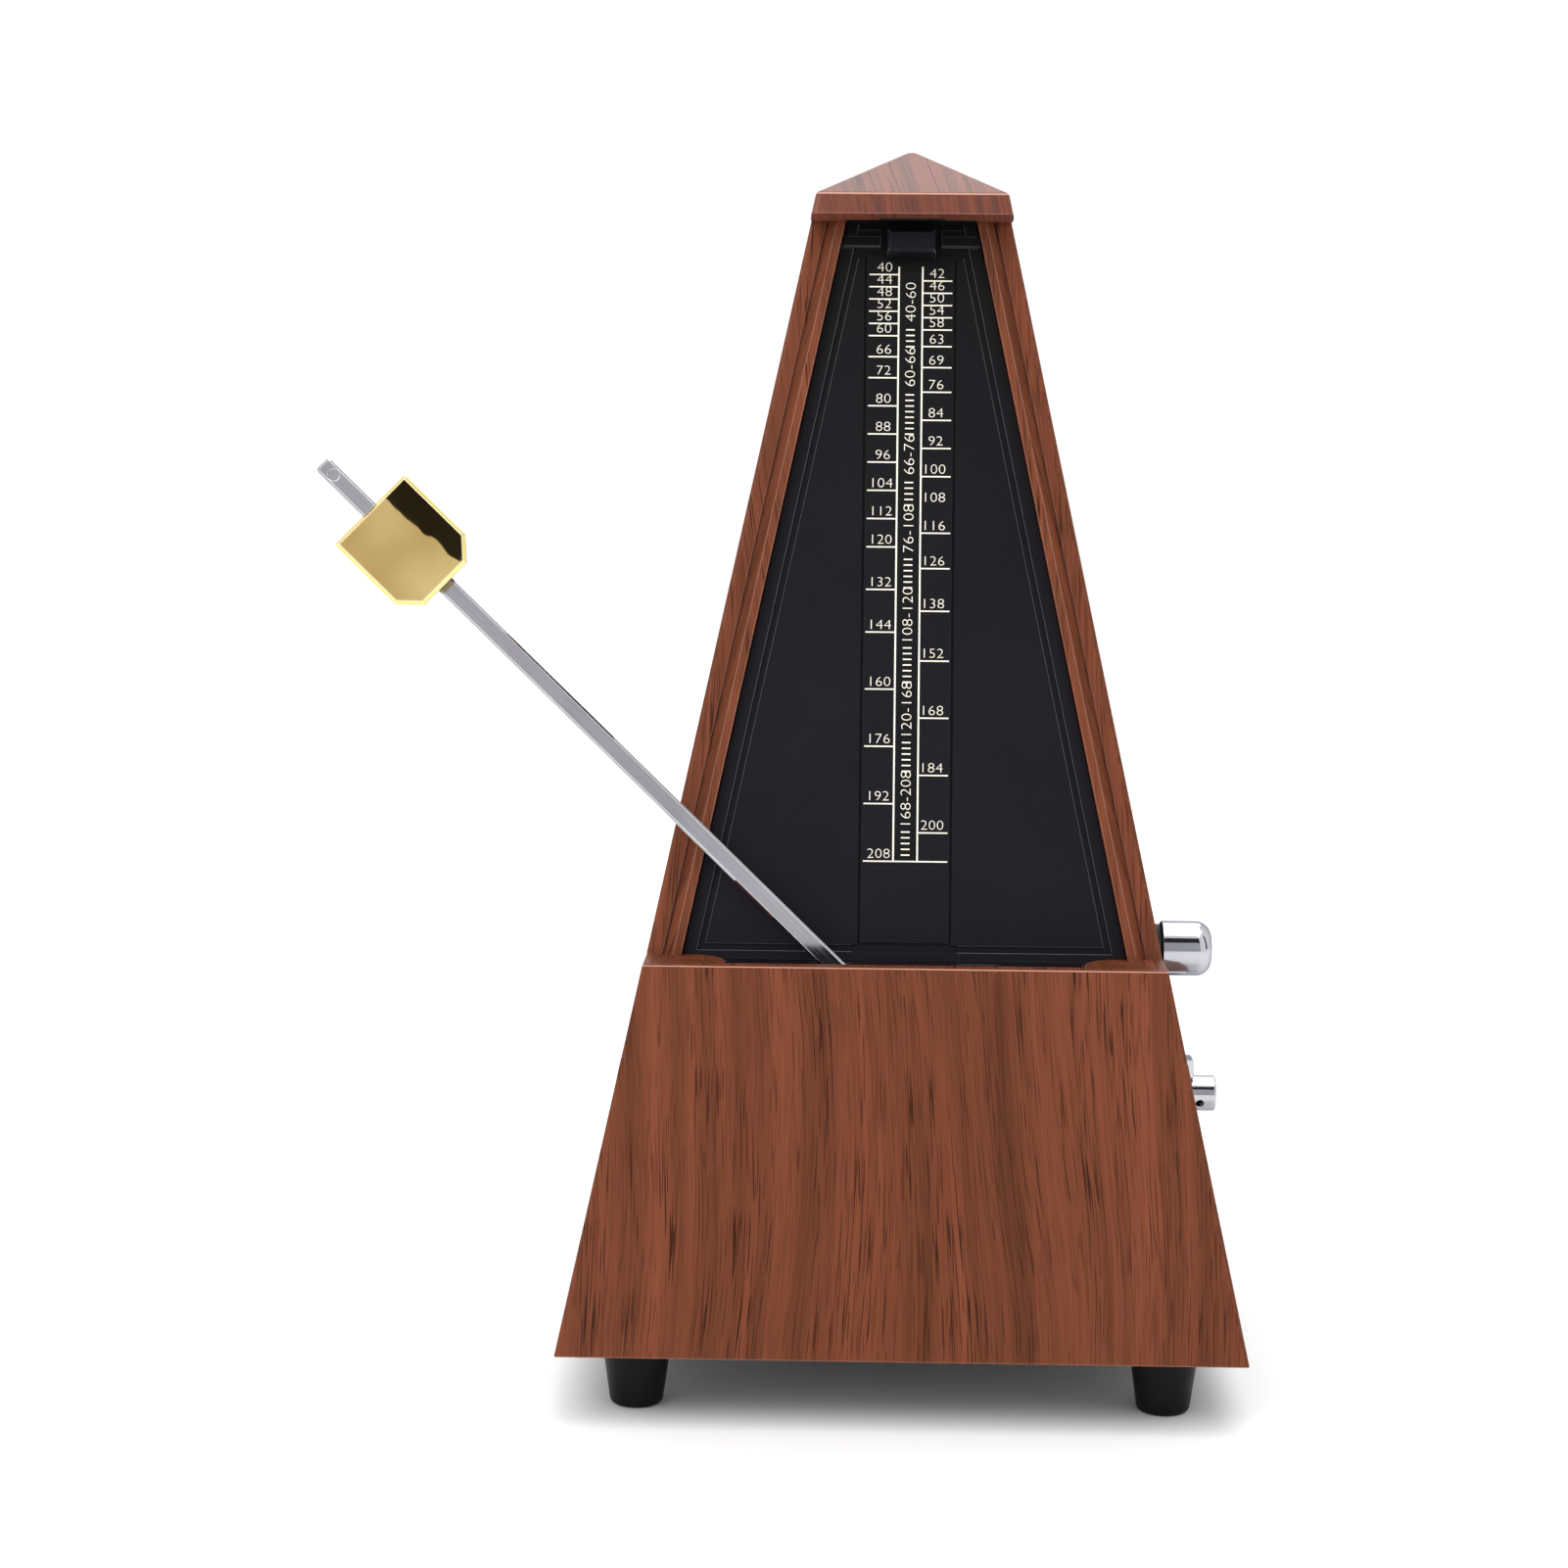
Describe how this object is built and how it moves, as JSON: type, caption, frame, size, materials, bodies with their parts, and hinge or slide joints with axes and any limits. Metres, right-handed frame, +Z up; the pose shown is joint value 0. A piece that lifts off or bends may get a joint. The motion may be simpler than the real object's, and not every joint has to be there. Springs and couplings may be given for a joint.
{
  "type": "mechanical metronome",
  "caption": "Pyramid metronome with a leaning front dial, swinging pendulum with a sliding weight, spring-driven wheel train, winding key and selectable bell",
  "frame": {"origin": "centre of the case footprint on the floor plane under the feet", "axes": "+X to the right as seen from the front, +Y to the rear, +Z up; the front faces -Y"},
  "size_m": [0.159, 0.115, 0.2123],
  "materials": {
    "case_grain": "satin wood-grain film over a moulded shell",
    "black_tray": "satin black moulding",
    "black_foot": "satin black moulding",
    "rod_metal": "satin with bright edges",
    "weight_brass": "polished",
    "chrome": "mirror",
    "movement_brass": "lightly brushed",
    "movement_steel": "turned",
    "bell_metal": "polished",
    "counter_iron": "dark cast metal"
  },
  "bodies": {
    "case": {"case_shell": "case_grain", "top_cap": "case_grain", "dial_insert": "black_tray", "scale_strip": "black_tray", "pendulum_clip": "black_tray", "base_plate": "black_tray", "base_screws": "movement_steel", "foot_front_left": "black_foot", "foot_front_right": "black_foot", "foot_rear_left": "black_foot", "foot_rear_right": "black_foot", "key_bush": "black_tray", "bell_bush": "black_tray", "bell_lug": "chrome", "plate_left": "movement_brass", "plate_right": "movement_brass", "plate_pillars": "movement_steel", "pillar_screws": "movement_steel", "plate_screws": "movement_steel", "verge_bridge": "movement_brass", "bridge_rivets": "movement_steel", "click_pin": "movement_steel", "gong": "bell_metal", "gong_post": "movement_steel", "gong_screw": "movement_steel"},
    "winding": {"winding_key": "chrome", "winding_arbor": "movement_steel", "ratchet_wheel": "movement_steel"},
    "click": {"click": "movement_steel"},
    "barrel": {"great_wheel": "movement_brass", "barrel_cover": "movement_brass", "mainspring": "movement_steel"},
    "second": {"second_wheel": "movement_brass", "second_pinion": "movement_steel"},
    "escape": {"escape_wheel": "movement_brass", "escape_pinion": "movement_steel", "bell_cams": "movement_brass"},
    "pendulum": {"pendulum_rod": "rod_metal", "rod_clamp": "movement_brass", "rod_rivets": "movement_steel", "verge_arbor": "movement_steel", "pallets": "movement_steel", "counterweight": "counter_iron", "bob_pin": "movement_steel"},
    "weight": {"sliding_weight": "weight_brass", "weight_spring": "movement_steel"},
    "bell_pull": {"bell_knob": "chrome", "bell_rod": "movement_steel"},
    "hammer": {"hammer_lever": "movement_steel", "hammer_head": "movement_brass"}
  },
  "joints": [
    {"name": "pendulum_swing", "type": "hinge", "parent": "case", "child": "pendulum", "pos_m": [0, -0.04194, 0.06353], "axis": [0, 0.9781, -0.2079], "range_deg": [-1.2, 93.8]},
    {"name": "weight_slide", "type": "slide", "parent": "pendulum", "child": "weight", "axis": [-0.723, 0.1436, 0.6758], "range_m": [-0.0835, 0.004]},
    {"name": "key_wind", "type": "hinge", "parent": "case", "child": "winding", "pos_m": [0.04666, 0, 0.07145], "axis": [1, 0, 0], "continuous": true},
    {"name": "click_lift", "type": "hinge", "parent": "case", "child": "click", "pos_m": [0.0258, -0.0074, 0.08026], "axis": [1, 0, 0], "range_deg": [0, 18]},
    {"name": "barrel_turn", "type": "hinge", "parent": "case", "child": "barrel", "pos_m": [0.0099, 0, 0.07145], "axis": [1, 0, 0], "continuous": true},
    {"name": "second_turn", "type": "hinge", "parent": "case", "child": "second", "pos_m": [-0.0155, -0.00371, 0.05078], "axis": [1, 0, 0], "continuous": true},
    {"name": "escape_turn", "type": "hinge", "parent": "case", "child": "escape", "pos_m": [0, -0.01817, 0.04549], "axis": [1, 0, 0], "continuous": true},
    {"name": "bell_select", "type": "slide", "parent": "case", "child": "bell_pull", "axis": [1, 0, 0], "range_m": [0, 0.008]},
    {"name": "hammer_strike", "type": "hinge", "parent": "bell_pull", "child": "hammer", "pos_m": [0.0035, 0.004, 0.044], "axis": [1, 0, 0], "range_deg": [0, 12]}
  ],
  "couplings": [
    {"joint": "second_turn", "follows": "barrel_turn", "ratio": -6},
    {"joint": "escape_turn", "follows": "barrel_turn", "ratio": 36}
  ]
}
